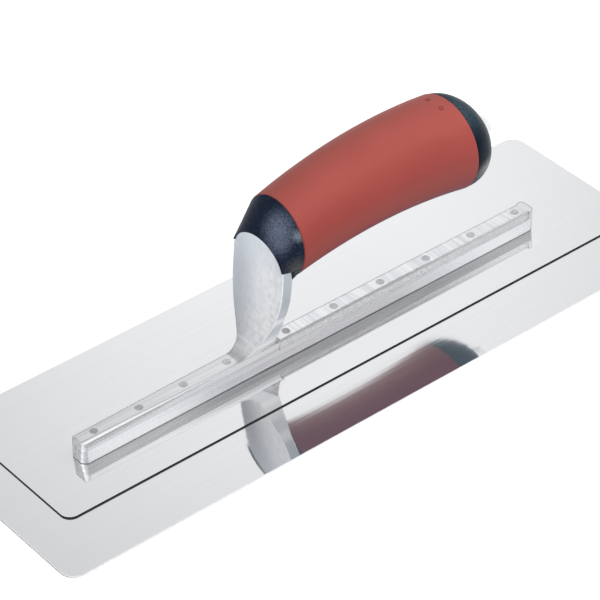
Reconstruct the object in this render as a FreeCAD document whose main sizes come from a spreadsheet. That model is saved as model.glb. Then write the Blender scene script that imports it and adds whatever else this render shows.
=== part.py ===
import FreeCAD, Part
import math
import os
import re

import Sketcher
from FreeCAD import Placement, Rotation, Vector

# Steel finishing trowel, in millimetres. +X runs along the blade towards the rear end of the
# handle, +Y across the blade and +Z up. The origin is the middle of the blade's flat underside.

doc = FreeCAD.newDocument("finishing_trowel")

# ---------------------------------------------------------------- driving dimensions

SIZES = {
    # blade and backing plate
    "blade_length": 355.6,
    "blade_width": 114.3,
    "blade_thickness": 0.6,
    "blade_corner": 7.0,
    "backing_length": 315.4,
    "backing_width": 55.8,
    "backing_thickness": 0.8,
    "backing_corner": 5.0,
    # cast bar: its front half has rounded shoulders, its rear half an as-cast recess on each side
    "bar_length": 264.0,
    "bar_front_width": 10.3,
    "bar_middle_width": 9.7,
    "bar_rear_width": 9.3,
    "bar_corner": 4.4,
    "bar_corner_margin": 0.3,
    "bar_top": 12.6,
    "bar_draft": 2.0,
    "bar_shoulder": 2.6,
    "bar_shoulder_end": 0.2,
    "bar_overlap": 1.0,
    "recess_start": -25.0,
    "recess_end": 128.5,
    "recess_floor": 8.2,
    "recess_slope": 0.6,
    "recess_foot_half_width": 4.05,
    "recess_lip_half_width": 3.5,
    "recess_round": 1.1,
    "recess_nose": 3.5,
    "recess_nose_radius": 3.85,
    "recess_open": 0.3,
    # rivets
    "rivet_outer": 122.7,
    "rivet_front_pitch": 24.2,
    "rivet_rear_pitch": 27.8,
    "rivet_radius": 1.3,
    "rivet_head_radius": 1.65,
    "rivet_head_depth": 1.2,
    "rivet_foot_radius": 2.6,
    # leaf-shaped shank: outline seen from the front, then its bowed side view
    "leaf_crown": 72.1,
    "leaf_arch_base": 58.0,
    "leaf_half_width": 16.5,
    "leaf_waist": 51.0,
    "leaf_flank": 30.0,
    "leaf_flank_half_width": 12.6,
    "leaf_flank_radius": 56.0,
    "leaf_foot_half_width": 4.4,
    "leaf_front": -32.3,
    "leaf_depth": 5.3,
    "leaf_bow": 157.0,
    "leaf_bow_centre": 62.0,
    "leaf_ankle": 18.6,
    "leaf_calf": 35.0,
    "leaf_heel": 18.0,
    "leaf_heel_swell": 1.2,
    "leaf_toe": -46.5,
    "leaf_toe_radius": 9.5,
    "leaf_edge": 0.6,
    # gusset behind the foot of the shank
    "gusset_top": 30.0,
    "gusset_heel": -21.5,
    "gusset_peak": -29.5,
    "gusset_front": -36.0,
    "gusset_front_top": -31.5,
    "gusset_flank": 2.8,
    "gusset_inset": 0.3,
    # stud through the handle, rising towards the rear
    "stud_tilt": 3.0,
    "stud_height": 65.0,
    "stud_radius": 3.95,
    "stud_start": -29.0,
    "stud_end": 100.4,
    "stud_clearance": 0.2,
    "boss_radius": 7.0,
    "boss_end": -12.0,
    # handle, round in section, with its centre line on an arc
    "handle_arch_radius": 228.0,
    "handle_peak_x": 39.5,
    "handle_peak_z": 76.75,
    "grip_front": -22.5,
    "grip_rear": 75.2,
    "grip_front_radius": 19.25,
    "grip_rear_radius": 22.85,
    "grip_wall": 3.2,
    "grip_proud": 0.25,
    "grip_edge": 0.8,
    "collar_front": -32.8,
    "collar_rim": 0.5,
    "collar_lip": 61.8,
    "spigot_radius": 13.5,
    "spigot_length": 7.0,
    "cap_end": 90.9,
    "cap_dome": 19.6,
    "cap_seat": 90.4,
    # how far a cutter runs past the face it cuts
    "overrun": 3.0,
    # washer and nut
    "washer_radius": 8.75,
    "washer_thickness": 1.6,
    "nut_flats": 13.0,
    "nut_thickness": 7.4,
    "nut_face_radius": 6.4,
    "nut_chamfer": 1.0,
}

sheet = doc.addObject("Spreadsheet::Sheet", "Sizes")
for row, (alias, value) in enumerate(SIZES.items(), start=1):
    sheet.set(f"A{row}", alias)
    sheet.set(f"B{row}", str(value))
    sheet.setAlias(f"B{row}", alias)
doc.recompute()

# ---------------------------------------------------------------- helpers


def size(formula):
    """The present value of a formula written in the sheet's aliases."""
    value = sheet.evalExpression(formula)
    return float(getattr(value, "Value", value))


def linked(formula):
    """The same formula as an expression for an object outside the sheet."""
    return re.sub(r"[a-z_]+", lambda word: "Sizes." + word[0] if word[0] in SIZES else word[0], formula)


def bind(thing, **formulas):
    """Tie properties to formulas; a double underscore stands for the dot of a sub-property."""
    for name, formula in formulas.items():
        thing.setExpression(name.replace("__", "."), linked(str(formula)))
    return thing


def new_body(label):
    body = doc.addObject("PartDesign::Body", label)
    body.Label = label
    return body


def new_sketch(body, name, plane, offset="0"):
    """A sketch on one of the body's own origin planes, moved along its normal by a formula."""
    sketch = body.newObject("Sketcher::SketchObject", name)
    support = next(item for item in body.Origin.OriginFeatures if item.Role == plane)
    sketch.AttachmentSupport = [(support, "")]
    sketch.MapMode = "FlatFace"
    bind(sketch, AttachmentOffset__Base__z=offset)
    return sketch


def lock(sketch, kind, geometry, vertex, formula):
    """Hold a vertex at a signed distance from the sketch's origin."""
    constraint = sketch.addConstraint(Sketcher.Constraint(kind, -1, 1, geometry, vertex, size(formula)))
    sketch.setExpression(f"Constraints[{constraint}]", linked(formula))


def arc_between(start, end, radius):
    """Arc of a circle from start to end, counter-clockwise for a positive radius."""
    chord = end - start
    middle = (start + end) * 0.5
    rise = math.sqrt(max(radius * radius - chord.Length ** 2 / 4, 0.0))
    normal = Vector(-chord.y, chord.x, 0).normalize()
    centre = middle + normal * rise * math.copysign(1, radius)
    first, last = (start, end) if radius > 0 else (end, start)
    angles = [math.atan2(point.y - centre.y, point.x - centre.x) for point in (first, last)]
    return Part.ArcOfCircle(Part.Circle(centre, Vector(0, 0, 1), abs(radius)), *angles)


def outline(sketch, corners):
    """Closed outline. A corner is (across, up) or (across, up, radius of the arc to the next one)."""
    places = [Vector(size(corner[0]), size(corner[1]), 0) for corner in corners]
    ends = []
    for index, corner in enumerate(corners):
        start, end = places[index], places[(index + 1) % len(corners)]
        if len(corner) == 2:
            geometry = sketch.addGeometry(Part.LineSegment(start, end))
            ends.append((geometry, 1, 2))
            continue
        radius = size(corner[2])
        geometry = sketch.addGeometry(arc_between(start, end, radius))
        ends.append((geometry, 1, 2) if radius > 0 else (geometry, 2, 1))
        held = sketch.addConstraint(Sketcher.Constraint("Radius", geometry, abs(radius)))
        sketch.setExpression(f"Constraints[{held}]", linked(f"abs({corner[2]})"))
    for index, (geometry, first, last) in enumerate(ends):
        following = ends[(index + 1) % len(ends)]
        sketch.addConstraint(Sketcher.Constraint("Coincident", geometry, last, following[0], following[1]))
        lock(sketch, "DistanceX", geometry, first, corners[index][0])
        lock(sketch, "DistanceY", geometry, first, corners[index][1])


def rectangle(sketch, half_across, half_up):
    outline(sketch, [(f"-({half_across})", f"-({half_up})"), (half_across, f"-({half_up})"),
                     (half_across, half_up), (f"-({half_across})", half_up)])


def circle(sketch, radius):
    geometry = sketch.addGeometry(Part.Circle(Vector(0, 0, 0), Vector(0, 0, 1), size(radius)))
    sketch.addConstraint(Sketcher.Constraint("Coincident", geometry, 3, -1, 1))
    held = sketch.addConstraint(Sketcher.Constraint("Radius", geometry, size(radius)))
    sketch.setExpression(f"Constraints[{held}]", linked(radius))


def new_pad(body, sketch, length, both_ways=False, draft="0"):
    pad = body.newObject("PartDesign::Pad", body.Name + "_pad")
    pad.Profile = sketch
    pad.Midplane = both_ways
    bind(pad, Length=length, TaperAngle=draft)
    return pad


def edges_where(shape, wanted):
    return [f"Edge{number}" for number, edge in enumerate(shape.Edges, start=1) if wanted(edge)]


def round_edges(body, base, radius, wanted):
    """Round the edges of the body's last feature that pass the test."""
    doc.recompute()
    fillet = body.newObject("PartDesign::Fillet", body.Name + "_round")
    fillet.Base = (base, edges_where(base.Shape, wanted))
    bind(fillet, Radius=radius)
    return fillet


def is_upright(edge):
    """True for an edge that climbs much more than it runs along or across."""
    box = edge.BoundBox
    return box.ZLength > 4 * max(box.XLength, box.YLength)


def fuse(label, shapes):
    joined = doc.addObject("Part::MultiFuse", label)
    joined.Shapes = shapes
    joined.Label = label
    return joined


def cut(label, base, tools):
    """Base less the tools, which may be pieces of the trowel that stay in the model."""
    tool = tools[0] if len(tools) == 1 else fuse(label + "_tools", tools)
    piece = doc.addObject("Part::Cut", label)
    piece.Base = base
    piece.Tool = tool
    piece.Label = label
    return piece


def common(label, first, second):
    shared = doc.addObject("Part::MultiCommon", label)
    shared.Shapes = [first, second]
    shared.Label = label
    return shared


def on_stud(thing, place):
    """Set a shape's Z axis along the stud, its origin where the axis passes a place along X."""
    thing.Placement = Placement(Vector(0, 0, 0), Rotation(Vector(0, 1, 0), 90))
    return bind(thing, Placement__Base__x=place,
                Placement__Base__z=f"stud_height + ({place}) * tan(stud_tilt * 1deg)",
                Placement__Rotation__Angle="90 - stud_tilt")


def stud_cylinder(name, start, end, radius):
    """Cylinder on the stud's axis between two places along X."""
    cylinder = doc.addObject("Part::Cylinder", name)
    bind(cylinder, Radius=radius, Height=f"(({end}) - ({start})) / cos(stud_tilt * 1deg)")
    return on_stud(cylinder, start)


def along_x(thing, place, height):
    """Turn a shape's Z axis along X and set its origin in the middle plane."""
    thing.Placement = Placement(Vector(0, 0, 0), Rotation(Vector(0, 1, 0), 90))
    return bind(thing, Placement__Base__x=place, Placement__Base__z=height)


def handle_height(place):
    """Height of the handle's centre line at a place along X."""
    return (f"handle_peak_z - handle_arch_radius"
            f" + sqrt(handle_arch_radius^2 - (({place}) - handle_peak_x)^2)")


def handle_section(name, place, radius):
    section = doc.addObject("Part::Circle", name)
    bind(section, Radius=radius)
    return along_x(section, place, handle_height(place))


def loft(label, sections):
    skin = doc.addObject("Part::Loft", label)
    skin.Sections = sections
    skin.Solid = True
    skin.Ruled = False
    skin.Label = label
    return skin


# ---------------------------------------------------------------- rivets

RIVET_ROWS = {
    "front_rivet": ["-rivet_outer + %d * rivet_front_pitch" % step for step in range(4)],
    "rear_rivet": ["rivet_outer - %d * rivet_rear_pitch" % step for step in range(5, -1, -1)],
}
PLATE_TOP = "(blade_thickness + backing_thickness)"


def rivet(label, place):
    """Countersunk into the plates below and set flush into the top of the bar."""
    body = new_body(label)
    sketch = new_sketch(body, label + "_profile", "XZ_Plane")
    outline(sketch, [("0", "0"), ("rivet_foot_radius", "0"), ("rivet_radius", PLATE_TOP),
                     ("rivet_radius", "bar_top - rivet_head_depth"), ("rivet_head_radius", "bar_top"),
                     ("0", "bar_top")])
    turned = body.newObject("PartDesign::Revolution", label + "_turned")
    turned.Profile = sketch
    turned.ReferenceAxis = (sketch, ["V_Axis"])
    turned.Angle = 360
    return bind(body, Placement__Base__x=place)


rivets = [rivet(f"{row}_{number}", place) for row, places in RIVET_ROWS.items()
          for number, place in enumerate(places, start=1)]
rivet_set = fuse("rivet_set", rivets)

# ---------------------------------------------------------------- blade and backing plate


def plate(label, length, width, thickness, corner, base):
    """Sheet with rounded corners, drilled for the rivets."""
    body = new_body(label + "_sheet")
    sketch = new_sketch(body, label + "_outline", "XY_Plane")
    rectangle(sketch, length + " / 2", width + " / 2")
    pad = new_pad(body, sketch, thickness)
    round_edges(body, pad, corner, lambda edge: edge.BoundBox.ZLength > size(thickness) / 2)
    bind(body, Placement__Base__z=base)
    return cut(label, body, [rivet_set])


blade = plate("blade", "blade_length", "blade_width", "blade_thickness", "blade_corner", "0")
backing_plate = plate("backing_plate", "backing_length", "backing_width", "backing_thickness",
                      "backing_corner", "blade_thickness")

# ---------------------------------------------------------------- mounting casting

BAR_END = "bar_length / 2"
LEAF_SHOULDER = "leaf_half_width * sin(45deg)"
LEAF_SHOULDER_UP = "leaf_arch_base + (leaf_crown - leaf_arch_base) * sin(45deg)"
GUSSET_STEPS = 6


def bar_half(label, toe, end, end_width):
    """Tapered half of the bar, from the toe of the shank to its square outer end."""
    body = new_body(label)
    sketch = new_sketch(body, label + "_plan", "XY_Plane")
    outline(sketch, [(toe, "-bar_middle_width / 2"), (end, f"-{end_width} / 2"),
                     (end, f"{end_width} / 2"), (toe, "bar_middle_width / 2")])
    new_pad(body, sketch, f"bar_top - {PLATE_TOP}", draft="-bar_draft")
    return bind(body, Placement__Base__z=PLATE_TOP)


def front_bar():
    """Front half, its long top edges rounded off, less and less towards the shank."""
    body = bar_half("front_bar_body", "leaf_toe + bar_overlap", f"-{BAR_END}", "bar_front_width")
    doc.recompute()
    shoulders = doc.addObject("Part::Fillet", "front_bar")
    shoulders.Base = body
    ends = (size("bar_shoulder"), size("bar_shoulder_end"))
    shoulders.Edges = [
        (number, *(ends if edge.Vertexes[0].X < edge.Vertexes[-1].X else ends[::-1]))
        for number, edge in enumerate(body.Shape.Edges, start=1)
        if edge.BoundBox.ZMin > size("bar_top - recess_slope") and edge.BoundBox.XLength > size("bar_length / 4")]
    return shoulders


def bar_envelope():
    """Upright prism, a little larger than the bar, that rounds its two ends in plan."""
    body = new_body("bar_envelope")
    sketch = new_sketch(body, "bar_envelope_plan", "XY_Plane")
    front, rear = (f"({width} / 2 + bar_corner_margin)" for width in ("bar_front_width", "bar_rear_width"))
    end = f"({BAR_END} + bar_corner_margin)"
    outline(sketch, [(f"-{end}", f"-{front}"), (end, f"-{rear}"), (end, rear), (f"-{end}", front)])
    pad = new_pad(body, sketch, "bar_top + 1")
    round_edges(body, pad, "bar_corner", is_upright)
    return body


def recess_cutter(name, side):
    """Floor and wall of an as-cast recess, extruded, within its outline seen from the side."""
    body = new_body(name + "_section")
    sketch = new_sketch(body, name + "_section_outline", "YZ_Plane", "recess_start - overrun")
    foot, lip, outside = (f"{side} * {width}" for width in
                          ("recess_foot_half_width", "recess_lip_half_width", "bar_rear_width"))
    outline(sketch, [(foot, "recess_floor"), (outside, "recess_floor + recess_slope"),
                     (outside, "bar_top + 1"), (lip, "bar_top + 1"), (lip, "bar_top")])
    pad = new_pad(body, sketch, "recess_end - recess_start + overrun")
    round_edges(body, pad, "recess_round", lambda edge: is_upright(edge)
                and edge.BoundBox.ZMin < size("bar_top") - 1
                and abs(edge.CenterOfMass.y) < size("bar_rear_width / 2"))
    reach = new_body(name + "_reach")
    sketch = new_sketch(reach, name + "_reach_outline", "XZ_Plane")
    nose, top = "recess_start + recess_nose", "bar_top + recess_open"
    below = top + " - 2 * recess_nose"
    outline(sketch, [(nose, below), ("recess_end + overrun", below), ("recess_end + overrun", top),
                     (nose, top, "recess_nose_radius")])
    new_pad(reach, sketch, "4 * bar_rear_width", both_ways=True)
    return common(name, body, reach)


def leaf():
    """Plate of the shank: its outline from the front and its bowed side view, both extruded."""
    face = new_body("leaf_face")
    sketch = new_sketch(face, "leaf_face_outline", "YZ_Plane")
    shoulder_radius = (f"((leaf_half_width - {LEAF_SHOULDER})^2 + ({LEAF_SHOULDER_UP} - leaf_arch_base)^2)"
                       f" / (2 * (leaf_half_width - {LEAF_SHOULDER}))")
    crown_radius = (f"(({LEAF_SHOULDER})^2 + (leaf_crown - ({LEAF_SHOULDER_UP}))^2)"
                    f" / (2 * (leaf_crown - ({LEAF_SHOULDER_UP})))")
    outline(sketch, [
        ("-leaf_foot_half_width", PLATE_TOP),
        ("leaf_foot_half_width", PLATE_TOP),
        ("leaf_foot_half_width", "bar_top"),
        ("leaf_flank_half_width", "leaf_flank", "leaf_flank_radius"),
        ("leaf_half_width", "leaf_waist"),
        ("leaf_half_width", "leaf_arch_base", shoulder_radius),
        (LEAF_SHOULDER, LEAF_SHOULDER_UP, crown_radius),
        (f"-{LEAF_SHOULDER}", LEAF_SHOULDER_UP, shoulder_radius),
        ("-leaf_half_width", "leaf_arch_base"),
        ("-leaf_half_width", "leaf_waist", "leaf_flank_radius"),
        ("-leaf_flank_half_width", "leaf_flank"),
        ("-leaf_foot_half_width", "bar_top"),
    ])
    new_pad(face, sketch, "4 * leaf_half_width", both_ways=True)
    bind(face, Placement__Base__x="leaf_front")
    side = new_body("leaf_side")
    sketch = new_sketch(side, "leaf_side_outline", "XZ_Plane")
    bow = "(leaf_bow - sqrt(leaf_bow^2 - (leaf_bow_centre - ({0}))^2))"
    front = "leaf_front - " + bow
    back = "leaf_front + leaf_depth - " + bow
    outline(sketch, [
        ("leaf_toe", "bar_top", "leaf_toe_radius"),
        (front.format("leaf_ankle"), "leaf_ankle", "leaf_bow"),
        (front.format("leaf_crown + 1"), "leaf_crown + 1"),
        (back.format("leaf_crown + 1"), "leaf_crown + 1", "-leaf_bow"),
        (back.format("leaf_calf"), "leaf_calf"),
        (back.format("leaf_calf") + " + leaf_heel_swell", "leaf_heel"),
        ("gusset_front", "bar_top - 1"),
        ("leaf_toe", "bar_top - 1"),
    ])
    new_pad(side, sketch, "4 * leaf_half_width", both_ways=True)
    return common("leaf", face, side)


def gusset():
    """Web that sweeps up from the top of the bar to the back of the plate, narrower behind."""
    foot = size("bar_top - 1")
    rise = size("gusset_top") - foot
    run = size("gusset_heel - gusset_peak")
    spread = size("(leaf_flank_half_width - leaf_foot_half_width) / (leaf_flank - bar_top)")
    wires = []
    for step in range(GUSSET_STEPS + 1):
        share = step / GUSSET_STEPS
        height = foot + rise * share
        front = size("gusset_front") + size("gusset_front_top - gusset_front") * share
        heel = size("gusset_peak") + run * (1 - share) ** 2
        front_half_width = size("leaf_foot_half_width - leaf_edge") + spread * rise * share
        waist = size("gusset_flank") * math.sin(math.pi / 2 * math.sqrt(share))
        heel_half_width = front_half_width - waist - size("gusset_inset")
        corners = [Vector(front, front_half_width, height), Vector(heel, heel_half_width, height),
                   Vector(heel, -heel_half_width, height), Vector(front, -front_half_width, height)]
        wires.append(Part.makePolygon(corners + corners[:1]))
    web = doc.addObject("Part::Feature", "gusset")
    web.Shape = Part.makeLoft(wires, True, False)
    return web


def mounting():
    """One casting: bar, shank, gusset and the boss that the stud screws into."""
    front = front_bar()
    rear = bar_half("rear_bar", "leaf_toe - bar_overlap", BAR_END, "bar_rear_width")
    rear = cut("rear_bar_recessed", rear, [recess_cutter("near_recess", -1), recess_cutter("far_recess", 1)])
    bar = common("bar", fuse("bar_halves", [front, rear]), bar_envelope())
    boss = stud_cylinder("boss", "leaf_front + leaf_depth / 2", "boss_end", "boss_radius")
    blank = fuse("casting", [bar, leaf(), gusset(), boss])
    thread = stud_cylinder("thread", "stud_start", "boss_end + overrun", "stud_radius")
    return cut("mounting", blank, [rivet_set, thread])


casting = mounting()

# ---------------------------------------------------------------- handle

SECTIONS = 5


def handle_blank(label, inset):
    """Solid of the grip's length, its radius less the inset."""
    sections = []
    for step in range(SECTIONS):
        share = step / (SECTIONS - 1)
        place = f"grip_front + (grip_rear - grip_front) * {share}"
        radius = f"grip_front_radius + (grip_rear_radius - grip_front_radius) * {share} - {inset}"
        sections.append(handle_section(f"{label}_section_{step}", place, radius))
    return loft(label, sections)


def spigot(name, place, slack):
    """Round tenon on the handle's centre line, where a moulding plugs into the core."""
    tenon = doc.addObject("Part::Cylinder", name)
    bind(tenon, Radius=f"spigot_radius + {slack}", Height="spigot_length")
    return along_x(tenon, place, handle_height(place))


def front_collar():
    """Shoulder between the grip and the shank, let in around the arch of the plate."""
    rear = handle_section("collar_rear", "grip_front", "grip_front_radius - grip_proud")
    front = doc.addObject("Part::Ellipse", "collar_front_section")
    bind(front, MajorRadius="leaf_half_width + collar_rim",
         MinorRadius="leaf_crown + collar_rim - leaf_arch_base")
    front.Placement = Placement(Vector(0, 0, 0), Rotation(Vector(1, 1, 1), 120))
    bind(front, Placement__Base__x="collar_front", Placement__Base__z="leaf_arch_base")
    shell = loft("collar_shell", [front, rear])
    below = doc.addObject("Part::Box", "collar_undercut")
    bind(below, Length="leaf_depth + overrun", Width="4 * leaf_half_width", Height="leaf_half_width * 2",
         Placement__Base__x="leaf_front - overrun", Placement__Base__y="-2 * leaf_half_width",
         Placement__Base__z="collar_lip - leaf_half_width * 2")
    below_front = doc.addObject("Part::Box", "collar_window_depth")
    bind(below_front, Length="leaf_depth", Width="4 * leaf_half_width", Height="2 * leaf_crown",
         Placement__Base__x="leaf_front - leaf_depth / 2", Placement__Base__y="-2 * leaf_half_width")
    blank = fuse("collar_blank", [shell, spigot("collar_spigot", "grip_front", 0)])
    window = common("collar_window", doc.getObject("leaf_face"), below_front)
    return cut("front_collar", blank, [casting, below, window, stud_cylinder(
        "collar_bore", "leaf_front + leaf_depth / 2", "grip_front + spigot_length + overrun",
        "boss_radius + stud_clearance")])


def end_cap():
    """Domed cap with a spot-faced seat for the washer."""
    sections = []
    for step in range(SECTIONS):
        place = f"grip_rear + (cap_end - grip_rear) * sin({step} / {SECTIONS - 1} * 90deg)"
        radius = f"(grip_rear_radius - grip_proud) * sqrt(1 - ((({place}) - grip_rear) / cap_dome)^2)"
        sections.append(handle_section(f"cap_section_{step}", place, radius))
    dome = loft("cap_dome_solid", sections)
    blank = fuse("cap_blank", [dome, spigot("cap_spigot", "grip_rear - spigot_length", 0)])
    seat = stud_cylinder("cap_seat_cutter", "cap_seat", "cap_end + overrun",
                         "washer_radius + stud_clearance")
    bore = stud_cylinder("cap_bore", "grip_rear - spigot_length - overrun", "cap_end + overrun",
                         "stud_radius + stud_clearance")
    return cut("end_cap", blank, [seat, bore])


def grip_core():
    """Hard inner moulding, bored for the stud and socketed for the collar, boss and cap."""
    bore = stud_cylinder("core_bore", "grip_front - overrun", "grip_rear + overrun",
                         "stud_radius + stud_clearance")
    boss_socket = stud_cylinder("core_boss_socket", "grip_front - overrun", "boss_end + stud_clearance",
                                "boss_radius + stud_clearance")
    sockets = [spigot("core_front_socket", "grip_front", 0),
               spigot("core_rear_socket", "grip_rear - spigot_length", 0)]
    return cut("grip_core", handle_blank("core_blank", "grip_wall"), [bore, boss_socket] + sockets)


def soft_grip():
    """Sleeve of soft rubber over the core, its outer rims eased."""
    sleeve = cut("sleeve", handle_blank("grip_blank", "0"), [handle_blank("grip_hollow", "grip_wall")])
    doc.recompute()
    eased = doc.addObject("Part::Fillet", "soft_grip")
    eased.Base = sleeve
    rims = [number for number, edge in enumerate(sleeve.Shape.Edges, start=1)
            if edge.BoundBox.XLength < 0.01 and edge.BoundBox.ZLength > 2 * size("grip_front_radius") - 1]
    eased.Edges = [(number, size("grip_edge"), size("grip_edge")) for number in rims]
    eased.Label = "soft_grip"
    return eased


def handle_stud():
    stud = stud_cylinder("handle_stud", "stud_start", "stud_end", "stud_radius")
    stud.Label = "handle_stud"
    return stud


def washer():
    body = new_body("washer")
    sketch = new_sketch(body, "washer_face", "XY_Plane")
    circle(sketch, "washer_radius")
    circle(sketch, "stud_radius + stud_clearance")
    new_pad(body, sketch, "washer_thickness")
    return on_stud(body, "cap_seat")


def handle_nut():
    """Hexagon nut with a corner upwards, its outer corners turned off."""
    hexagon = new_body("nut_hexagon")
    sketch = new_sketch(hexagon, "nut_face", "XY_Plane")
    corner = "nut_flats / 2 / cos(30deg)"
    outline(sketch, [(f"{corner} * cos({60 * turn}deg)", f"{corner} * sin({60 * turn}deg)")
                     for turn in range(6)])
    circle(sketch, "stud_radius")
    new_pad(hexagon, sketch, "nut_thickness")
    turned = new_body("nut_turned")
    sketch = new_sketch(turned, "nut_turned_profile", "XZ_Plane")
    outline(sketch, [("0", "0"), (corner, "0"), (corner, "nut_thickness - nut_chamfer"),
                     ("nut_face_radius", "nut_thickness"), ("0", "nut_thickness")])
    revolved = turned.newObject("PartDesign::Revolution", "nut_revolved")
    revolved.Profile = sketch
    revolved.ReferenceAxis = (sketch, ["V_Axis"])
    revolved.Angle = 360
    return on_stud(common("handle_nut", hexagon, turned), "cap_seat + washer_thickness")


# ---------------------------------------------------------------- check and write

pieces = rivets + [blade, backing_plate, casting, front_collar(), grip_core(), soft_grip(), end_cap(),
                   handle_stud(), washer(), handle_nut()]
doc.recompute()

failed = [item.Name for item in doc.Objects if "Invalid" in item.State or "Error" in item.State]
if failed:
    raise RuntimeError(f"objects that did not recompute: {failed}")
os.makedirs("parts", exist_ok=True)
for piece in pieces:
    if piece.Shape.isNull() or not piece.Shape.isValid():
        raise RuntimeError(f"{piece.Label} has no valid shape")
for piece in pieces:
    piece.Shape.exportStep(f"parts/{piece.Label}.step")
    box = piece.Shape.BoundBox
    print(f"{piece.Label:16s} solids {len(piece.Shape.Solids)} volume {piece.Shape.Volume:10.1f}"
          f" x {box.XMin:7.1f} {box.XMax:7.1f} y {box.YMin:6.1f} {box.YMax:6.1f}"
          f" z {box.ZMin:5.1f} {box.ZMax:5.1f}")
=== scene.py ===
import math

import bpy
from mathutils import Matrix, Vector


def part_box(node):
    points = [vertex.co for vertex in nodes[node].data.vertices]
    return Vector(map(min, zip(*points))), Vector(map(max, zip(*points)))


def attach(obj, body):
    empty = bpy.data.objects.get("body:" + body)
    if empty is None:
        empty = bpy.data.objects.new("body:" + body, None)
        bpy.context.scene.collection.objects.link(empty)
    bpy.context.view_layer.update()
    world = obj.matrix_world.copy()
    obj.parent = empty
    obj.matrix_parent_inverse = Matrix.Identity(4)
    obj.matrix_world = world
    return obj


# Looks for the finishing trowel. Metres, in the CAD's frame: +X along the blade to the rear of the
# handle, +Y across it, +Z up, origin in the middle of the blade's underside.

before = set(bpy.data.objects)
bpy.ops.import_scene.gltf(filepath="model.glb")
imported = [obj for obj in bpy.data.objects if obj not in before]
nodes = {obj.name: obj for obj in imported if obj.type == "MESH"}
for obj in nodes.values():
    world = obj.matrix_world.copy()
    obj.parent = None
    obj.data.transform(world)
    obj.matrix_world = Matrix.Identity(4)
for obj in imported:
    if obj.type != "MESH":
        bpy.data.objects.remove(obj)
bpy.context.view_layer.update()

# ---------------------------------------------------------------- places read from the model's parts

blade_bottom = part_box("blade")[0].z
grip_low, grip_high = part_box("soft_grip")
bar_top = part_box("rear_rivet_1")[1].z

# ---------------------------------------------------------------- material helpers


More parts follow.
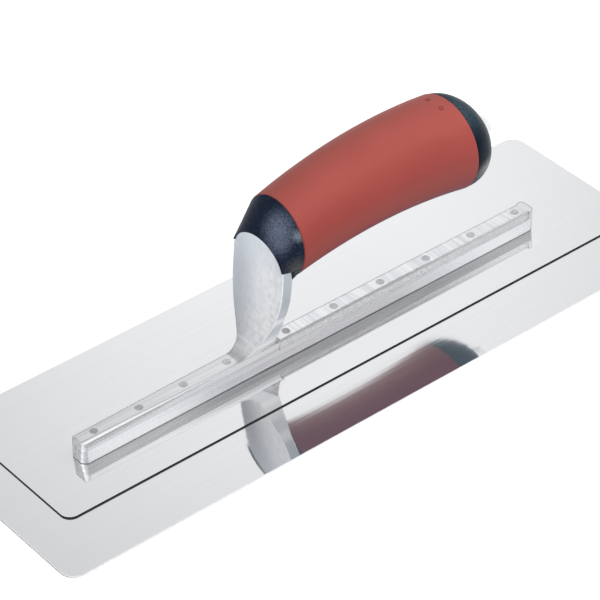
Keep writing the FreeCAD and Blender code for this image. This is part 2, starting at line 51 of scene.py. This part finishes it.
class Look:
    """One procedural material: its node tree and short calls that add to it."""

    def __init__(self, name, **surface):
        self.material = bpy.data.materials.new(name)
        self.material.use_nodes = True
        self.tree = self.material.node_tree
        self.shader = self.tree.nodes["Principled BSDF"]
        self.place = self.add("TexCoord").outputs["Object"]
        for socket, value in surface.items():
            self.set(socket.replace("_", " "), value)

    def add(self, kind, **settings):
        """New shader node with its settings."""
        node = self.tree.nodes.new("ShaderNode" + kind)
        for key, value in settings.items():
            setattr(node, key, value)
        return node

    def feed(self, socket, value):
        """Give a socket another node's output, a colour or a plain value."""
        if isinstance(value, bpy.types.NodeSocket):
            self.tree.links.new(value, socket)
        elif isinstance(value, (tuple, list)) and len(value) == 3 and socket.type == "RGBA":
            socket.default_value = (*value, 1)
        else:
            socket.default_value = value

    def set(self, socket, value):
        """Set or link one of the surface's own sockets."""
        self.feed(self.shader.inputs[socket], value)

    def stretched(self, x, y, z):
        """Object coordinates in cycles per metre along each axis."""
        node = self.add("Mapping")
        self.feed(node.inputs["Vector"], self.place)
        node.inputs["Scale"].default_value = (x, y, z)
        return node.outputs["Vector"]

    def noise(self, vector, detail=2.0, roughness=0.5):
        """Cloudy pattern between 0 and 1, about one blob to a unit of the vector."""
        node = self.add("TexNoise")
        self.feed(node.inputs["Vector"], vector)
        for socket, value in (("Scale", 1.0), ("Detail", detail), ("Roughness", roughness)):
            node.inputs[socket].default_value = value
        return node.outputs["Fac"]

    def math(self, operation, first, second=0.0):
        """One sum with one or two numbers."""
        node = self.add("Math", operation=operation)
        self.feed(node.inputs[0], first)
        self.feed(node.inputs[1], second)
        return node.outputs[0]

    def overlap(self, *masks):
        """Mask of the places that lie inside every one of the given masks."""
        product = masks[0]
        for mask in masks[1:]:
            product = self.math("MULTIPLY", product, mask)
        return product

    def from_middle(self, letter, low, high, smooth=False):
        """Mask by the distance from the trowel's middle along an axis: none at low, full at high."""
        distance = self.math("ABSOLUTE", self.axis(self.place, letter))
        return self.span(distance, low, high, smooth=smooth)

    def span(self, value, low, high, start=0.0, end=1.0, smooth=False):
        """Map low..high to start..end, held at both ends."""
        node = self.add("MapRange", interpolation_type="SMOOTHSTEP" if smooth else "LINEAR")
        for socket, number in (("Value", value), ("From Min", low), ("From Max", high),
                               ("To Min", start), ("To Max", end)):
            self.feed(node.inputs[socket], number)
        return node.outputs["Result"]

    def blend(self, share, first, second):
        """Blend two colours."""
        node = self.add("Mix", data_type="RGBA")
        self.feed(node.inputs[0], share)
        self.feed(node.inputs[6], first)
        self.feed(node.inputs[7], second)
        return node.outputs[2]

    def fade(self, share, first, second):
        """Blend two plain numbers."""
        node = self.add("Mix", data_type="FLOAT")
        self.feed(node.inputs[0], share)
        self.feed(node.inputs[2], first)
        self.feed(node.inputs[3], second)
        return node.outputs[0]

    def axis(self, vector, letter):
        """One part of a vector: X, Y or Z."""
        node = self.add("SeparateXYZ")
        self.feed(node.inputs[0], vector)
        return node.outputs[letter]

    def facing(self, letter):
        """How squarely the surface faces an axis of the frame, from -1 to 1."""
        return self.axis(self.add("NewGeometry").outputs["True Normal"], letter)

    def bump(self, height, distance, strength=1.0):
        """Add relief, on top of any that is there already."""
        node = self.add("Bump")
        node.inputs["Strength"].default_value = strength
        node.inputs["Distance"].default_value = distance
        self.feed(node.inputs["Height"], height)
        earlier = self.shader.inputs["Normal"].links
        if earlier:
            self.feed(node.inputs["Normal"], earlier[0].from_socket)
        self.set("Normal", node.outputs["Normal"])

    def soft_edges(self, radius):
        """Catch light along edges as if they were broken by hand."""
        node = self.add("Bevel", samples=6)
        node.inputs["Radius"].default_value = radius
        self.set("Normal", node.outputs["Normal"])

    def edge_turn(self, radius, wide, tight):
        """Mask of the edges, where rounding by a radius turns the surface: cosines of its turn."""
        node = self.add("Bevel", samples=6)
        node.inputs["Radius"].default_value = radius
        product = self.add("VectorMath", operation="DOT_PRODUCT")
        self.feed(product.inputs[0], node.outputs["Normal"])
        self.feed(product.inputs[1], self.add("NewGeometry").outputs["True Normal"])
        return self.span(product.outputs["Value"], wide, tight)

    def brushed_along(self, x, y, z):
        """Stretch reflections across the grain: the given direction is where they spread."""
        node = self.add("CombineXYZ")
        for socket, value in zip(node.inputs, (x, y, z)):
            socket.default_value = value
        self.set("Tangent", node.outputs[0])


# ---------------------------------------------------------------- materials

# Lengths are in metres. A pair of limits is where a mask starts and where it is full.
WHITE = (1.0, 1.0, 1.0)
SPRING_X, SPRING_Y = 0.05, -0.02    # slope of the sprung sheet where the handle pulls on it
SHEET_METAL = 0.95                  # how metallic the sheets are
SHEET_STRETCH = 0.95                # how far their grain stretches a reflection
BESIDE_BAR = (0.0150, 0.0125)       # strip of backing plate beside the bar, across
SHADE_FRONT = (-0.100, -0.050)      # along it, where the handle's shade sets in and
SHADE_REAR = (0.110, 0.055)         # where it ends
SHADE = 0.33                        # how much painted shade darkens the strip there
BAR_ENDS = (0.132, 0.116)           # painted light: the strip is brighter outside the shade, up to the bar's ends
PAINTED_LIGHT = 0.80
UNDERSIDE_REFLECTION = (0.014, 0.050, 0.085)      # painted bluish reflection on the plastics where they face down

BAR_ROLL, SHANK_ROLL = 0.21, 0.50   # slopes that the belt gave the upright faces
SHANK_LOW = 0.036                   # up to here on the shank
RECESS_FLOOR = 0.0082               # height of the bar's recesses
RECESS_FRONT = (-0.027, -0.025)     # where they start
RECESS_WALL = (0.00422, 0.00412)    # distance of their walls from the bar's middle plane
SHANK_REAR = (-0.030, -0.022)       # behind this the bar's top is ground across
FACE_FOOT = (bar_top, bar_top + 0.004)      # the shank's face starts here, above the bar
EDGE_HIGHLIGHT_FOOT = (bar_top + 0.001, bar_top + 0.004)
NEAR_HALF = (0.002, -0.002)         # the painted highlight along the shank's edges is on this half of it
ARRIS = 0.0006                      # half the width of the painted shade line along the bar's far upper edge
ARRIS_REAR, ARRIS_FRONT = 0.0040, 0.0044    # its distance from the bar's middle plane
JOINT = (0.0018, 0.0015)            # dark line where the bar sits on the backing plate
CREASE_ACROSS = (-0.0085, -0.0070)  # painted shade on one side of the shank's crease, on its face
CREASE_UP = (0.022, 0.042)
LOW_FLANK = (0.019, 0.026, 0.031, 0.034)    # painted shade in a band of heights on the shank's sides,
LOW_FLANK_FRONT = (-0.0285, -0.0300)        # in front of this
HIGH_FLANK = (0.024, 0.044)         # painted shade: the sides are darker again from here up
FAR_HALF = (-0.008, 0.014)          # the half of the shank's face that turns from the light
CROWN = (0.052, 0.068)              # painted shade on the shank's upper end, under the collar
OUTER_BAR = (0.060, 0.100)          # painted shade: the bar's sides are a little darker from here outward
BAR_FLANKS = (0.6, 0.85)            # how squarely a face looks to either side, to be one of the flanks
ROLLED_FLANKS = (0.45, 0.70)


def sprung(look):
    """Height of the sheet that gives it its even slope."""
    rise_x, rise_y = (look.math("MULTIPLY", look.axis(look.place, letter), slope)
                      for letter, slope in (("X", SPRING_X), ("Y", SPRING_Y)))
    return look.math("ADD", rise_x, rise_y)


def paint_light_beside_bar(look, flat):
    """Backing plate beside the bar: painted shade under the handle, painted light towards the bar's ends."""
    where_x = look.axis(look.place, "X")
    beside = look.from_middle("Y", *BESIDE_BAR, smooth=True)
    shade = look.overlap(look.span(where_x, *SHADE_FRONT, smooth=True),
                         look.span(where_x, *SHADE_REAR, smooth=True))
    unshaded = look.span(shade, 1.0, 0.0, 0.0, PAINTED_LIGHT)
    lit_ends = look.overlap(unshaded, look.from_middle("X", *BAR_ENDS, smooth=True))
    # painted light: the strip is lighter towards the bar's ends
    flat = look.blend(look.overlap(beside, lit_ends), flat, WHITE)
    # painted shade: the strip goes dark grey under the handle
    return look.blend(look.overlap(beside, look.math("MULTIPLY", shade, SHADE)), flat, (0.10, 0.10, 0.10))


def sheet_steel(name, tone, grain, edge_tone, with_painted_light=False):
    """Near-mirror stainless sheet with a fine grain along X and its edges in a tone of their own: duller
    where sheared on the blade, near-black painted shade on the backing plate. With painted light it also gets
    painted shade and light beside the bar.
    """
    look = Look(name, Metallic=SHEET_METAL, Anisotropic=SHEET_STRETCH)
    fine = look.noise(look.stretched(9, 3300, 40), detail=3)
    broad = look.noise(look.stretched(3.5, 420, 40), detail=3)
    streak = look.math("ADD", look.math("MULTIPLY", fine, 0.5), look.math("MULTIPLY", broad, 0.5))
    flat = look.blend(look.span(streak, 0.32, 0.68), (tone * 0.966, tone * 0.968, tone * 0.978),
                      (tone * 1.000, tone * 1.002, tone * 1.012))
    if with_painted_light:
        flat = paint_light_beside_bar(look, flat)
    edge = look.span(look.math("ABSOLUTE", look.facing("Z")), 0.35, 0.75)
    look.set("Base Color", look.blend(edge, (edge_tone, edge_tone, edge_tone * 1.03), flat))
    polish = look.span(streak, 0.3, 0.7, grain * 0.85, grain * 1.2)
    look.set("Roughness", look.span(edge, 0, 1, 0.5, polish))
    look.bump(sprung(look), distance=1.0)
    look.bump(fine, distance=0.000002, strength=0.2)
    look.bump(broad, distance=0.000012, strength=1.0)
    look.brushed_along(0, 1, 0)
    return look.material


class Casting:
    """Masks that the casting's colour, roughness and relief share."""

    def __init__(self, look):
        self.look = look
        self.x, self.y, self.z = (look.axis(look.place, letter) for letter in "XYZ")
        up = look.facing("Z")
        aside = look.math("ABSOLUTE", look.facing("Y"))
        ahead = look.math("MULTIPLY", look.facing("X"), -1.0)
        self.top = look.span(up, 0.8, 0.95)
        self.flanks = look.span(aside, *BAR_FLANKS)
        self.rolled_flanks = look.span(aside, *ROLLED_FLANKS)
        self.behind_shank = look.span(self.x, *SHANK_REAR)
        self.face = look.overlap(look.span(ahead, 0.15, 0.75), look.span(self.z, *FACE_FOOT))
        # as-cast skin inside the recesses of the rear half, where the belt doesn't reach
        self.recess = look.overlap(look.from_middle("Y", *RECESS_WALL), look.span(self.x, *RECESS_FRONT),
                                   look.span(self.z, RECESS_FLOOR - 0.0002, RECESS_FLOOR + 0.0001),
                                   look.span(up, 0.8, 0.5))
        # grain of each ground face: along X on the bar's sides, across on its top, along Z on the shank
        side_grain = look.noise(look.stretched(14, 620, 620), detail=3, roughness=0.65)
        top_grain = look.noise(look.stretched(330, 22, 22), detail=4, roughness=0.65)
        shank_grain = look.noise(look.stretched(400, 420, 260), detail=5, roughness=0.7)
        grain = look.fade(look.overlap(self.top, self.behind_shank), side_grain, top_grain)
        self.grain = look.fade(self.face, grain, shank_grain)
        self.pebbles = look.noise(look.stretched(760, 760, 760), detail=3, roughness=0.65)

    def between(self, low, full, full_end, end):
        """Mask of a band of heights, with soft ends."""
        return self.look.overlap(self.look.span(self.z, low, full), self.look.span(self.z, end, full_end))


def ground_tone(look, cast):
    """Colour of the ground faces, before anything darkens them."""
    patches = look.noise(look.stretched(42, 90, 30), detail=3)
    tone = look.blend(look.span(cast.grain, 0.35, 0.65), (0.70, 0.71, 0.74), WHITE)
    tone = look.blend(look.span(patches, 0.35, 0.7, 0.0, 0.30), tone, (0.84, 0.86, 0.89))
    blast = look.noise(look.stretched(260, 330, 180), detail=6, roughness=0.75)
    tone = look.blend(cast.face, tone, look.blend(look.span(blast, 0.33, 0.56), (0.76, 0.78, 0.80), WHITE))
    scratches = look.noise(look.stretched(200, 110, 700), detail=5, roughness=0.7)
    scratched = look.overlap(cast.face, look.span(scratches, 0.51, 0.62, 0.0, 0.40))
    return look.blend(scratched, tone, (0.62, 0.65, 0.70))


def shank_tone(look, cast, tone):
    """Colour of the leaf-shaped shank, with painted shade: beside its crease, on its flanks, on its face and
    under the collar.
    """
    # painted shade: the face is darker on the far side of its crease
    crease_shade = look.overlap(cast.face, look.span(cast.y, *CREASE_ACROSS, 0.0, 0.5, smooth=True),
                          look.span(cast.z, *CREASE_UP, 0.2, 1.0))
    tone = look.blend(crease_shade, tone, (0.84, 0.86, 0.90))
    # painted shade on the shank's sides
    low_flank_shade = look.overlap(cast.flanks, cast.between(*LOW_FLANK), look.span(cast.x, *LOW_FLANK_FRONT))
    tone = look.blend(low_flank_shade, tone, (0.58, 0.60, 0.62))
    high_flank_shade = look.overlap(cast.flanks, look.span(cast.z, *HIGH_FLANK))
    tone = look.blend(high_flank_shade, tone, (0.40, 0.44, 0.48))
    far_half = look.overlap(cast.face, look.span(cast.y, *FAR_HALF, smooth=True))
    tone = look.blend(look.math("MULTIPLY", far_half, 0.92), tone, (0.40, 0.43, 0.47))
    # painted shade where the collar hangs over the shank's face
    shade_under_collar = look.overlap(cast.face, look.span(cast.z, *CROWN, 0.0, 0.55))
    return look.blend(shade_under_collar, tone, (0.55, 0.60, 0.66))


def recess_tone(look, cast, tone):
    """Colour of the as-cast recesses, with painted shade below the arris and along the floor."""
    rough = look.blend(look.span(cast.pebbles, 0.36, 0.64), (0.74, 0.75, 0.77), WHITE)
    tone = look.blend(cast.recess, tone, rough)
    # painted shade under the bar's top arris and along the recess floor
    shade_under_arris = look.overlap(cast.recess, look.span(cast.z, bar_top - 0.0018, bar_top - 0.0006))
    tone = look.blend(look.math("MULTIPLY", shade_under_arris, 0.55), tone, (0.30, 0.31, 0.33))
    shade_over_floor = look.overlap(cast.recess, look.span(cast.z, RECESS_FLOOR + 0.0008, RECESS_FLOOR + 0.0002))
    return look.blend(look.math("MULTIPLY", shade_over_floor, 0.35), tone, (0.40, 0.41, 0.43))


def bar_tone(look, cast, tone):
    """Colour with a painted highlight along the shank's near edge, painted shade on the bar's outer ends and
    along its far upper edge, and the dark line where the bar sits on the backing plate.
    """
    edges = look.edge_turn(radius=0.0009, wide=0.985, tight=0.88)
    # painted highlight: white along the shank's near edges
    edge_highlight = look.overlap(edges, look.span(cast.y, *NEAR_HALF), look.span(cast.z, *EDGE_HIGHLIGHT_FOOT))
    tone = look.blend(edge_highlight, tone, WHITE)
    # painted shade on the bar's sides towards its ends
    outer_shade = look.overlap(look.from_middle("X", *OUTER_BAR), cast.flanks)
    tone = look.blend(look.math("MULTIPLY", outer_shade, 0.55), tone, (0.66, 0.67, 0.68))
    arris = look.fade(cast.behind_shank, ARRIS_FRONT, ARRIS_REAR)
    at_top = cast.between(*(bar_top + step * ARRIS for step in (-1.0, -0.5, 0.5, 1.0)))
    # painted shade along the bar's far upper edge
    arris_shade = look.overlap(look.span(look.math("SUBTRACT", cast.y, arris), 0.0, 0.0004), at_top)
    joint = look.span(cast.z, *JOINT)
    lines = look.math("MAXIMUM", look.math("MULTIPLY", arris_shade, 0.5), joint)
    return look.blend(lines, tone, (0.12, 0.12, 0.13))


def cast_roughness(look, cast):
    """Roughness of the grain, less on the top and on all of the bar, and that of the recesses."""
    ground = look.span(cast.grain, 0.3, 0.7, 0.34, 0.46)
    smoother = ((cast.top, 0.14), (look.span(cast.z, bar_top + 0.0004, bar_top - 0.0004), 0.12),
                (look.overlap(cast.top, cast.behind_shank), 0.10))
    for share, less in smoother:
        ground = look.math("SUBTRACT", ground, look.math("MULTIPLY", share, less))
    return look.span(cast.recess, 0, 1, ground, 0.5)


def cast_aluminium():
    """Casting that is belt ground where it is seen and left as cast in the recesses."""
    look = Look("cast_aluminium", Metallic=1.0)
    cast = Casting(look)
    look.soft_edges(radius=0.0010)
    tone = ground_tone(look, cast)
    for add_tone in (shank_tone, recess_tone, bar_tone):
        tone = add_tone(look, cast, tone)
    look.set("Base Color", tone)
    look.set("Roughness", cast_roughness(look, cast))
    look.set("Metallic", look.span(cast.recess, 0, 1, 1.0, 0.55))
    # how the belt has rolled the upright faces: the bar's sides look down, the foot of the shank up
    rolled = look.span(cast.z, 0.0, RECESS_FLOOR, -BAR_ROLL * RECESS_FLOOR, 0.0)
    lifted = look.span(cast.z, bar_top, SHANK_LOW, 0.0, -SHANK_ROLL * (SHANK_LOW - bar_top))
    look.bump(look.overlap(look.math("ADD", rolled, lifted), cast.rolled_flanks), distance=1.0)
    look.bump(look.overlap(sprung(look), cast.top), distance=1.0)
    look.bump(cast.grain, distance=0.00008, strength=0.7)
    look.bump(look.overlap(cast.pebbles, cast.recess), distance=0.00040, strength=0.9)
    return look.material


def rivet_steel(name, tone):
    """Flush rivet with a blotchy worn face."""
    look = Look(name, Metallic=1.0)
    blotch = look.noise(look.stretched(700, 700, 700), detail=3)
    look.set("Base Color", look.blend(look.span(blotch, 0.35, 0.65), (tone * 0.8, tone * 0.8, tone * 0.82),
                                      (tone * 1.15, tone * 1.15, tone * 1.15)))
    look.set("Roughness", look.span(blotch, 0.3, 0.7, 0.30, 0.44))
    look.bump(blotch, distance=0.00008, strength=0.5)
    return look.material


def hard_plastic(name, colour, haze, shine, painted_highlights):
    """Dark moulding with a fine spark-eroded texture, painted highlights round some places and a painted
    bluish reflection where it faces down.
    """
    look = Look(name, Specular_IOR_Level=shine)
    speck = look.noise(look.stretched(1300, 1300, 1300), detail=2, roughness=0.6)
    mottle = look.noise(look.stretched(120, 120, 120), detail=3)
    look.soft_edges(radius=0.0004)
    skin = look.blend(look.span(speck, 0.5, 0.75, 0, 0.12), colour, haze)
    for centre, reach, glint_colour in painted_highlights:
        away = look.add("VectorMath", operation="DISTANCE")
        look.feed(away.inputs[0], look.place)
        away.inputs[1].default_value = centre
        # painted highlight: lighter colour round each place, flecked by the speck pattern
        painted_glint = look.span(away.outputs["Value"], reach, 0.0, smooth=True)
        skin = look.blend(look.overlap(painted_glint, look.span(speck, 0.34, 0.64, 0.35, 1.0)), skin, glint_colour)
    # painted reflection: lighter bluish colour where the plastic faces down
    underside_reflection = look.span(look.facing("Z"), -0.15, -0.55)
    look.set("Base Color", look.blend(underside_reflection, skin, UNDERSIDE_REFLECTION))
    look.set("Roughness", look.span(mottle, 0.3, 0.7, 0.34, 0.46))
    look.bump(speck, distance=0.00010, strength=0.5)
    return look.material


def soft_rubber():
    """Red matte rubber, faintly mottled, with painted shade: lighter where it faces up, deeper where it faces
    down or away, mauve on its underside.
    """
    look = Look("grip_rubber", Sheen_Weight=0.03, Sheen_Roughness=0.5, Specular_IOR_Level=0.45)
    look.set("Sheen Tint", (1.0, 0.75, 0.7, 1))
    mottle = look.noise(look.stretched(38, 38, 38), detail=4, roughness=0.6)
    grain = look.noise(look.stretched(1100, 1100, 1100), detail=2, roughness=0.6)
    share = look.span(mottle, 0.3, 0.7)
    lit_red = look.blend(share, (0.285, 0.050, 0.040), (0.315, 0.060, 0.048))
    shaded_red = look.blend(share, (0.235, 0.024, 0.017), (0.265, 0.031, 0.023))
    upward = look.facing("Z")
    # painted shade: lighter red where the rubber faces up, deeper where it faces down
    skin = look.blend(look.span(upward, 0.20, 0.80), shaded_red, lit_red)
    # painted shade, tinted mauve, on the underside
    skin = look.blend(look.span(upward, -0.35, -0.80), skin, (0.110, 0.022, 0.060))
    # painted shade on the side facing away
    away = look.span(look.facing("Y"), -0.35, 0.35, 0.0, 0.55)
    look.set("Base Color", look.blend(away, skin, (0.190, 0.045, 0.037)))
    look.set("Roughness", look.span(mottle, 0.3, 0.7, 0.56, 0.64))
    look.bump(grain, distance=0.00006, strength=0.35)
    return look.material


def zinc_plate():
    """Bright plated steel of the stud, the washer and the nut."""
    look = Look("plated_steel", Metallic=1.0)
    cloud = look.noise(look.stretched(260, 260, 260), detail=3)
    look.soft_edges(radius=0.0003)
    look.set("Base Color", look.blend(look.span(cloud, 0.3, 0.7), (0.74, 0.76, 0.78), (0.90, 0.90, 0.88)))
    look.set("Roughness", look.span(cloud, 0.3, 0.7, 0.20, 0.34))
    look.bump(cloud, distance=0.00003, strength=0.4)
    return look.material


def place_in(node, along, across, up):
    """Point in a node's box, as shares of its length, width and height."""
    low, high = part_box(node)
    return tuple(start + (end - start) * share for start, end, share in zip(low, high, (along, across, up)))


def paint(node, material):
    """Give a CAD node its finish."""
    mesh = nodes[node].data
    mesh.materials.clear()
    mesh.materials.append(material)


SHEET_TONE = 0.90
SHEARED, IN_SHADE = 0.9, 0.012      # tone of the blade's sheared edges, and the painted shade on the backing plate's edges
NAVY, NAVY_HAZE = (0.005, 0.010, 0.025), (0.190, 0.220, 0.305)
BLACK, BLACK_HAZE = (0.002, 0.006, 0.014), (0.020, 0.034, 0.052)
# painted highlights: where in the node's box, how far they reach, and their colour
COLLAR_HIGHLIGHTS = (((0.28, 0.30, 0.80), 0.0115, (0.150, 0.177, 0.250)),
                 ((0.14, 0.22, 0.68), 0.0085, (0.110, 0.130, 0.190)),
                 ((0.53, 0.08, 0.76), 0.0042, (0.190, 0.230, 0.280)),
                 ((0.38, 0.01, 0.40), 0.0080, (0.080, 0.076, 0.068)))
CAP_HIGHLIGHTS = (((0.25, 0.30, 0.97), 0.0180, (0.045, 0.072, 0.092)),
              ((0.58, 0.04, 0.32), 0.0100, (0.400, 0.400, 0.370)))
# the rivets nearest the front end and the shank are darker than the rest
DARKER_RIVETS = {"front_rivet_1": 0.52, "front_rivet_2": 0.60, "front_rivet_3": 0.72, "rear_rivet_1": 0.60}
RIVET_TONE = 0.84


def highlights_on(node, highlights):
    """Painted highlights of a node, with their centres worked out from its box."""
    return [(place_in(node, *shares), reach, colour) for shares, reach, colour in highlights]


paint("blade", sheet_steel("polished_steel", SHEET_TONE, grain=0.055, edge_tone=SHEARED))
paint("backing_plate", sheet_steel("backing_steel", SHEET_TONE, grain=0.045, edge_tone=IN_SHADE, with_painted_light=True))
paint("mounting", cast_aluminium())
navy = hard_plastic("collar_plastic", NAVY, NAVY_HAZE, 0.07, highlights_on("front_collar", COLLAR_HIGHLIGHTS))
paint("front_collar", navy)
paint("grip_core", navy)
paint("soft_grip", soft_rubber())
black = hard_plastic("cap_plastic", BLACK, BLACK_HAZE, 0.06, highlights_on("end_cap", CAP_HIGHLIGHTS))
paint("end_cap", black)
zinc = zinc_plate()
for node in ("handle_stud", "washer", "handle_nut"):
    paint(node, zinc)
for node in nodes:
    if "rivet" in node:
        paint(node, rivet_steel("rivet_" + node, DARKER_RIVETS.get(node, RIVET_TONE)))

# ---------------------------------------------------------------- small pieces


GATE_X, GATE_Y = 0.068, 0.0043      # where the two gates are, on the top of the grip
GATE_RADIUS, GATE_WIRE = 0.0010, 0.00022
RING_TURNS, RING_SIDES = 32, 8
ABOVE_GRIP = 0.02                   # the ring's place is found by a line down from here


def gate_mark():
    """Rubber of the raised rings, darker than the skin round them."""
    look = Look("gate_mark", Specular_IOR_Level=0.3, Roughness=0.5)
    speck = look.noise(look.stretched(2500, 2500, 2500))
    look.set("Base Color", look.blend(speck, (0.15, 0.024, 0.020), (0.21, 0.038, 0.031)))
    return look.material


def gate_ring(name, x, y, material):
    """Raised witness ring of a moulding gate, half sunk in the top of the grip."""
    grip = nodes["soft_grip"]
    bpy.context.view_layer.update()
    above = Vector((x, y, grip_high.z + ABOVE_GRIP))
    hit, place, normal, _ = grip.ray_cast(above, Vector((0, 0, -1)))
    if not hit:
        raise RuntimeError(name + " misses the grip")
    spin = normal.to_track_quat("Z", "Y")
    points, faces = [], []
    for turn in range(RING_TURNS):
        around = 2 * math.pi * turn / RING_TURNS
        along = (turn + 1) % RING_TURNS
        for side in range(RING_SIDES):
            roll = 2 * math.pi * side / RING_SIDES
            across = (side + 1) % RING_SIDES
            reach = GATE_RADIUS + GATE_WIRE * math.cos(roll)
            point = Vector((reach * math.cos(around), reach * math.sin(around), GATE_WIRE * math.sin(roll)))
            points.append(place + spin @ point)
            faces.append((turn * RING_SIDES + side, along * RING_SIDES + side,
                          along * RING_SIDES + across, turn * RING_SIDES + across))
    mesh = bpy.data.meshes.new(name)
    mesh.from_pydata(points, [], faces)
    mesh.polygons.foreach_set("use_smooth", [True] * len(faces))
    mesh.materials.append(material)
    ring = bpy.data.objects.new(name, mesh)
    bpy.context.scene.collection.objects.link(ring)
    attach(ring, "root")


ring_rubber = gate_mark()
gate_ring("gate_ring_left", GATE_X, -GATE_Y, ring_rubber)
gate_ring("gate_ring_right", GATE_X, GATE_Y, ring_rubber)

# ---------------------------------------------------------------- stage


FLOOR_SIZE = 8.0
FLOOR_GAP = 0.0003                  # how far the floor lies below the blade


def floor():
    """Plain white ground, just under the blade."""
    bpy.ops.mesh.primitive_plane_add(size=FLOOR_SIZE, location=(0, 0, blade_bottom - FLOOR_GAP))
    plane = bpy.context.object
    plane.name = "floor"
    look = Look("floor_white", Roughness=0.9, Specular_IOR_Level=0.1)
    tone = look.noise(look.stretched(3, 3, 3))
    look.set("Base Color", look.blend(tone, (0.93, 0.93, 0.93), (0.95, 0.95, 0.95)))
    plane.data.materials.append(look.material)


# luminance all round, and patches of it: azimuth, elevation and spread in degrees, gain
EVEN_LIGHT = 0.44
SOFT_PATCHES = ((36.0, 37.0, 10.2, 0.56), (128, 55, 27, 0.85), (-88, 34, 28, 0.85),
                (139, 6, 17, -0.30), (-128, 36, 24, 0.50))
SURROUND = (0.985, 0.995, 1.005, 1)


def direction(azimuth, elevation):
    """Unit vector, its azimuth in degrees from +Y towards +X."""
    turn, rise = math.radians(azimuth), math.radians(elevation)
    return Vector((math.sin(turn) * math.cos(rise), math.cos(turn) * math.cos(rise), math.sin(rise)))


def studio():
    """Even pale surround with soft patches, as the camera sees them: brighter behind the trowel,
    high at its right, at its left and behind the camera, darker low at its right."""
    world = bpy.data.worlds.new("studio")
    bpy.context.scene.world = world
    world.use_nodes = True
    tree = world.node_tree
    background = tree.nodes["Background"]
    place = tree.nodes.new("ShaderNodeTexCoord").outputs["Generated"]
    total = EVEN_LIGHT
    for azimuth, elevation, spread, gain in SOFT_PATCHES:
        aim = tree.nodes.new("ShaderNodeVectorMath")
        aim.operation = "DOT_PRODUCT"
        aim.inputs[1].default_value = direction(azimuth, elevation)
        tree.links.new(place, aim.inputs[0])
        value = aim.outputs["Value"]
        for operation, number in (("SUBTRACT", 1.0), ("MULTIPLY", 2 / math.radians(spread) ** 2),
                                  ("EXPONENT", 0.0), ("MULTIPLY", gain), ("ADD", total)):
            step = tree.nodes.new("ShaderNodeMath")
            step.operation = operation
            if isinstance(number, bpy.types.NodeSocket):
                tree.links.new(number, step.inputs[1])
            else:
                step.inputs[1].default_value = number
            tree.links.new(value, step.inputs[0])
            value = step.outputs[0]
        total = value
    tree.links.new(total, background.inputs["Strength"])
    background.inputs["Color"].default_value = SURROUND


def soft_lamp(name, azimuth, elevation, distance, across, power):
    """Square area light aimed at the middle of the trowel, as high as the lowest of the grip."""
    target = Vector((0, 0, grip_low.z))
    data = bpy.data.lights.new(name, "AREA")
    data.shape = "SQUARE"
    data.size = across
    data.energy = power
    lamp = bpy.data.objects.new(name, data)
    bpy.context.scene.collection.objects.link(lamp)
    lamp.location = target + direction(azimuth, elevation) * distance
    lamp.rotation_euler = (target - lamp.location).to_track_quat("-Z", "Y").to_euler()
    lamp.visible_camera = False
    lamp.visible_glossy = False


CAMERA_PLACE = (-0.674834, -0.772386, 0.825748)
CAMERA_TURN, CAMERA_DIP, CAMERA_ROLL = 40.790, 38.095, 0.789     # degrees
CAMERA_LENS, CAMERA_FILM = 176.66, 36                            # millimetres
CAMERA_SEES = 20


def camera():
    """Long lens from the front left, above the blade."""
    ahead = direction(CAMERA_TURN, -CAMERA_DIP)
    level = ahead.cross(Vector((0, 0, 1))).normalized()
    upright = level.cross(ahead)
    roll = math.radians(CAMERA_ROLL)
    right = level * math.cos(roll) + upright * math.sin(roll)
    up = upright * math.cos(roll) - level * math.sin(roll)
    data = bpy.data.cameras.new("camera")
    data.sensor_width = CAMERA_FILM
    data.lens = CAMERA_LENS
    data.clip_end = CAMERA_SEES
    eye = bpy.data.objects.new("camera", data)
    eye.matrix_world = Matrix((right, up, -ahead)).transposed().to_4x4()
    eye.location = CAMERA_PLACE
    bpy.context.scene.collection.objects.link(eye)
    bpy.context.scene.camera = eye


floor()
studio()
soft_lamp("key", azimuth=125, elevation=62, distance=2.2, across=1.4, power=44)
camera()
bpy.context.scene.view_settings.view_transform = "Standard"
